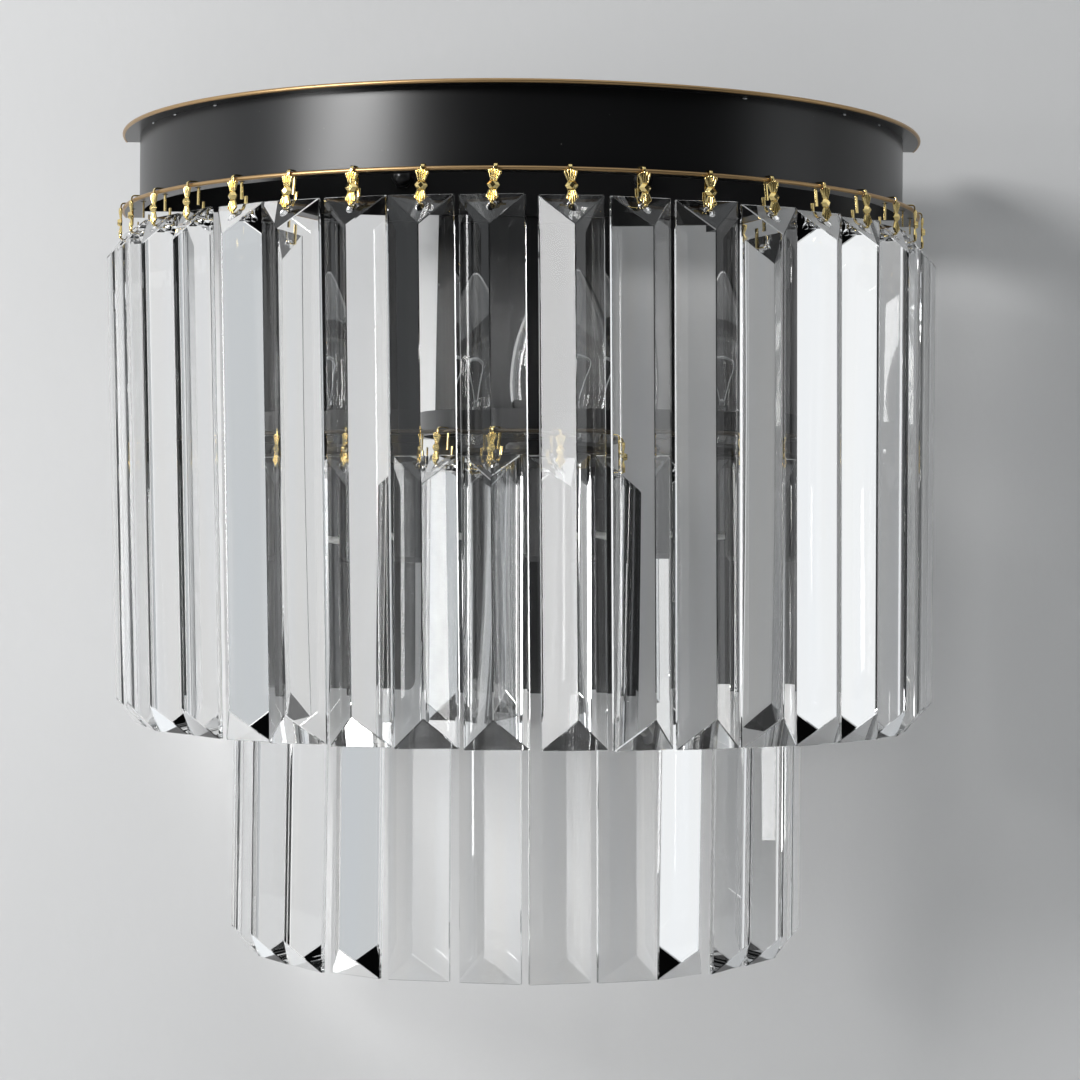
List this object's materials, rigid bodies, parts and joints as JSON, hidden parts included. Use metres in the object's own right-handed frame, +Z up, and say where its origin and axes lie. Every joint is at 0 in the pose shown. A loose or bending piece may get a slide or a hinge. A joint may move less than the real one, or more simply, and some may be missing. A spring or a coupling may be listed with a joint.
{
  "type": "crystal wall sconce",
  "caption": "Half-round wall lamp: a black drum and a smaller ring inside it, both hung with clear ridged glass prisms on brass bow-tie clips, in front of candle bulbs.",
  "frame": {"origin": "on the wall plane, midway between the wall bracket's two studs", "axes": "+X to the right as seen from the room, +Y into the wall, +Z up; the lamp faces -Y"},
  "size_m": [0.3046, 0.1546, 0.304],
  "materials": {
    "satin_black": "satin black powder coat with a fine grain",
    "brushed_brass": "brushed brass, clear lacquered",
    "polished_brass": "polished brass plate on stamped strip",
    "crystal": "clear cut and polished glass",
    "bulb_glass": "thin clear blown glass",
    "cap_metal": "drawn bright metal with a rolled thread",
    "holder_plastic": "moulded black plastic",
    "block_plastic": "moulded pale plastic",
    "rubber": "moulded black rubber",
    "lead_sheath": "smooth extruded sheath",
    "contact_brass": "rolled brass sheet",
    "zinc_steel": "bright zinc plate"
  },
  "bodies": {
    "root": {"back_plate": "satin_black", "bracket_studs": "zinc_steel", "cap_nuts": "satin_black", "drum_back_strip": "satin_black", "drum_band": "satin_black", "earth_screw": "zinc_steel", "frame_screws": "satin_black", "grommet": "rubber", "holder_contacts": "contact_brass", "inner_back_strip": "satin_black", "inner_band": "satin_black", "inner_clips": "polished_brass", "inner_edge": "brushed_brass", "inner_flange": "satin_black", "lamp_bracket": "satin_black", "lamp_leads": "lead_sheath", "lampholder_left": "holder_plastic", "lampholder_right": "holder_plastic", "lower_edge": "brushed_brass", "lower_flange": "satin_black", "outer_clips": "polished_brass", "shade_rings": "holder_plastic", "terminal_block": "block_plastic", "top_edge": "brushed_brass", "top_flange": "satin_black", "wall_bracket": "zinc_steel"},
    "bulb_left": {"bulb_glass_left": "bulb_glass", "bulb_cap_left": "cap_metal"},
    "bulb_right": {"bulb_glass_right": "bulb_glass", "bulb_cap_right": "cap_metal"},
    "outer_prism_01_body": {"outer_prism_01": "crystal"},
    "outer_prism_02_body": {"outer_prism_02": "crystal"},
    "outer_prism_03_body": {"outer_prism_03": "crystal"},
    "outer_prism_04_body": {"outer_prism_04": "crystal"},
    "outer_prism_05_body": {"outer_prism_05": "crystal"},
    "outer_prism_06_body": {"outer_prism_06": "crystal"},
    "outer_prism_07_body": {"outer_prism_07": "crystal"},
    "outer_prism_08_body": {"outer_prism_08": "crystal"},
    "outer_prism_09_body": {"outer_prism_09": "crystal"},
    "outer_prism_10_body": {"outer_prism_10": "crystal"},
    "outer_prism_11_body": {"outer_prism_11": "crystal"},
    "outer_prism_12_body": {"outer_prism_12": "crystal"},
    "outer_prism_13_body": {"outer_prism_13": "crystal"},
    "outer_prism_14_body": {"outer_prism_14": "crystal"},
    "outer_prism_15_body": {"outer_prism_15": "crystal"},
    "outer_prism_16_body": {"outer_prism_16": "crystal"},
    "outer_prism_17_body": {"outer_prism_17": "crystal"},
    "outer_prism_18_body": {"outer_prism_18": "crystal"},
    "inner_prism_01_body": {"inner_prism_01": "crystal"},
    "inner_prism_02_body": {"inner_prism_02": "crystal"},
    "inner_prism_03_body": {"inner_prism_03": "crystal"},
    "inner_prism_04_body": {"inner_prism_04": "crystal"},
    "inner_prism_05_body": {"inner_prism_05": "crystal"},
    "inner_prism_06_body": {"inner_prism_06": "crystal"},
    "inner_prism_07_body": {"inner_prism_07": "crystal"},
    "inner_prism_08_body": {"inner_prism_08": "crystal"},
    "inner_prism_09_body": {"inner_prism_09": "crystal"},
    "inner_prism_10_body": {"inner_prism_10": "crystal"},
    "inner_prism_11_body": {"inner_prism_11": "crystal"},
    "inner_prism_12_body": {"inner_prism_12": "crystal"}
  },
  "joints": [
    {"name": "outer_prism_01_swing", "type": "hinge", "parent": "root", "child": "outer_prism_01_body", "pos_m": [-0.14615, -0.02815, -0.02585], "axis": [-0.1891, 0.982, 0], "range_deg": [-3, 10]},
    {"name": "outer_prism_02_swing", "type": "hinge", "parent": "root", "child": "outer_prism_02_body", "pos_m": [-0.13967, -0.05141, -0.02585], "axis": [-0.3454, 0.9385, 0], "range_deg": [-3, 10]},
    {"name": "outer_prism_03_swing", "type": "hinge", "parent": "root", "child": "outer_prism_03_body", "pos_m": [-0.12952, -0.07332, -0.02585], "axis": [-0.4926, 0.8702, 0], "range_deg": [-3, 10]},
    {"name": "outer_prism_04_swing", "type": "hinge", "parent": "root", "child": "outer_prism_04_body", "pos_m": [-0.11596, -0.0933, -0.02585], "axis": [-0.6269, 0.7791, 0], "range_deg": [-3, 10]},
    {"name": "outer_prism_05_swing", "type": "hinge", "parent": "root", "child": "outer_prism_05_body", "pos_m": [-0.09935, -0.11082, -0.02585], "axis": [-0.7446, 0.6675, 0], "range_deg": [-3, 10]},
    {"name": "outer_prism_06_swing", "type": "hinge", "parent": "root", "child": "outer_prism_06_body", "pos_m": [-0.08012, -0.12543, -0.02585], "axis": [-0.8427, 0.5383, 0], "range_deg": [-3, 10]},
    {"name": "outer_prism_07_swing", "type": "hinge", "parent": "root", "child": "outer_prism_07_body", "pos_m": [-0.05879, -0.13673, -0.02585], "axis": [-0.9187, 0.395, 0], "range_deg": [-3, 10]},
    {"name": "outer_prism_08_swing", "type": "hinge", "parent": "root", "child": "outer_prism_08_body", "pos_m": [-0.0359, -0.14444, -0.02585], "axis": [-0.9705, 0.2412, 0], "range_deg": [-3, 10]},
    {"name": "outer_prism_09_swing", "type": "hinge", "parent": "root", "child": "outer_prism_09_body", "pos_m": [-0.01207, -0.14834, -0.02585], "axis": [-0.9967, 0.0811, 0], "range_deg": [-3, 10]},
    {"name": "outer_prism_10_swing", "type": "hinge", "parent": "root", "child": "outer_prism_10_body", "pos_m": [0.01207, -0.14834, -0.02585], "axis": [-0.9967, -0.0811, 0], "range_deg": [-3, 10]},
    {"name": "outer_prism_11_swing", "type": "hinge", "parent": "root", "child": "outer_prism_11_body", "pos_m": [0.0359, -0.14444, -0.02585], "axis": [-0.9705, -0.2412, 0], "range_deg": [-3, 10]},
    {"name": "outer_prism_12_swing", "type": "hinge", "parent": "root", "child": "outer_prism_12_body", "pos_m": [0.05879, -0.13673, -0.02585], "axis": [-0.9187, -0.395, 0], "range_deg": [-3, 10]},
    {"name": "outer_prism_13_swing", "type": "hinge", "parent": "root", "child": "outer_prism_13_body", "pos_m": [0.08012, -0.12543, -0.02585], "axis": [-0.8427, -0.5383, 0], "range_deg": [-3, 10]},
    {"name": "outer_prism_14_swing", "type": "hinge", "parent": "root", "child": "outer_prism_14_body", "pos_m": [0.09935, -0.11082, -0.02585], "axis": [-0.7446, -0.6675, 0], "range_deg": [-3, 10]},
    {"name": "outer_prism_15_swing", "type": "hinge", "parent": "root", "child": "outer_prism_15_body", "pos_m": [0.11596, -0.0933, -0.02585], "axis": [-0.6269, -0.7791, 0], "range_deg": [-3, 10]},
    {"name": "outer_prism_16_swing", "type": "hinge", "parent": "root", "child": "outer_prism_16_body", "pos_m": [0.12952, -0.07332, -0.02585], "axis": [-0.4926, -0.8702, 0], "range_deg": [-3, 10]},
    {"name": "outer_prism_17_swing", "type": "hinge", "parent": "root", "child": "outer_prism_17_body", "pos_m": [0.13967, -0.05141, -0.02585], "axis": [-0.3454, -0.9385, 0], "range_deg": [-3, 10]},
    {"name": "outer_prism_18_swing", "type": "hinge", "parent": "root", "child": "outer_prism_18_body", "pos_m": [0.14615, -0.02815, -0.02585], "axis": [-0.1891, -0.982, 0], "range_deg": [-3, 10]},
    {"name": "inner_prism_01_swing", "type": "hinge", "parent": "root", "child": "inner_prism_01_body", "pos_m": [-0.0979, -0.02414, -0.10985], "axis": [-0.2394, 0.9709, 0], "range_deg": [-2, 10]},
    {"name": "inner_prism_02_swing", "type": "hinge", "parent": "root", "child": "inner_prism_02_body", "pos_m": [-0.08928, -0.04687, -0.10985], "axis": [-0.4648, 0.8854, 0], "range_deg": [-2, 10]},
    {"name": "inner_prism_03_swing", "type": "hinge", "parent": "root", "child": "inner_prism_03_body", "pos_m": [-0.07547, -0.06687, -0.10985], "axis": [-0.6632, 0.7485, 0], "range_deg": [-2, 10]},
    {"name": "inner_prism_04_swing", "type": "hinge", "parent": "root", "child": "inner_prism_04_body", "pos_m": [-0.05728, -0.08299, -0.10985], "axis": [-0.823, 0.568, 0], "range_deg": [-2, 10]},
    {"name": "inner_prism_05_swing", "type": "hinge", "parent": "root", "child": "inner_prism_05_body", "pos_m": [-0.03575, -0.09428, -0.10985], "axis": [-0.935, 0.3546, 0], "range_deg": [-2, 10]},
    {"name": "inner_prism_06_swing", "type": "hinge", "parent": "root", "child": "inner_prism_06_body", "pos_m": [-0.01215, -0.1001, -0.10985], "axis": [-0.9927, 0.1205, 0], "range_deg": [-2, 10]},
    {"name": "inner_prism_07_swing", "type": "hinge", "parent": "root", "child": "inner_prism_07_body", "pos_m": [0.01215, -0.1001, -0.10985], "axis": [-0.9927, -0.1205, 0], "range_deg": [-2, 10]},
    {"name": "inner_prism_08_swing", "type": "hinge", "parent": "root", "child": "inner_prism_08_body", "pos_m": [0.03575, -0.09428, -0.10985], "axis": [-0.935, -0.3546, 0], "range_deg": [-2, 10]},
    {"name": "inner_prism_09_swing", "type": "hinge", "parent": "root", "child": "inner_prism_09_body", "pos_m": [0.05728, -0.08299, -0.10985], "axis": [-0.823, -0.568, 0], "range_deg": [-2, 10]},
    {"name": "inner_prism_10_swing", "type": "hinge", "parent": "root", "child": "inner_prism_10_body", "pos_m": [0.07547, -0.06687, -0.10985], "axis": [-0.6632, -0.7485, 0], "range_deg": [-2, 10]},
    {"name": "inner_prism_11_swing", "type": "hinge", "parent": "root", "child": "inner_prism_11_body", "pos_m": [0.08928, -0.04687, -0.10985], "axis": [-0.4648, -0.8854, 0], "range_deg": [-2, 10]},
    {"name": "inner_prism_12_swing", "type": "hinge", "parent": "root", "child": "inner_prism_12_body", "pos_m": [0.0979, -0.02414, -0.10985], "axis": [-0.2394, -0.9709, 0], "range_deg": [-2, 10]},
    {"name": "bulb_left_unscrew", "type": "slide", "parent": "root", "child": "bulb_left", "axis": [0, 0, 1], "range_m": [0, 0.026]},
    {"name": "bulb_right_unscrew", "type": "slide", "parent": "root", "child": "bulb_right", "axis": [0, 0, 1], "range_m": [0, 0.026]}
  ]
}
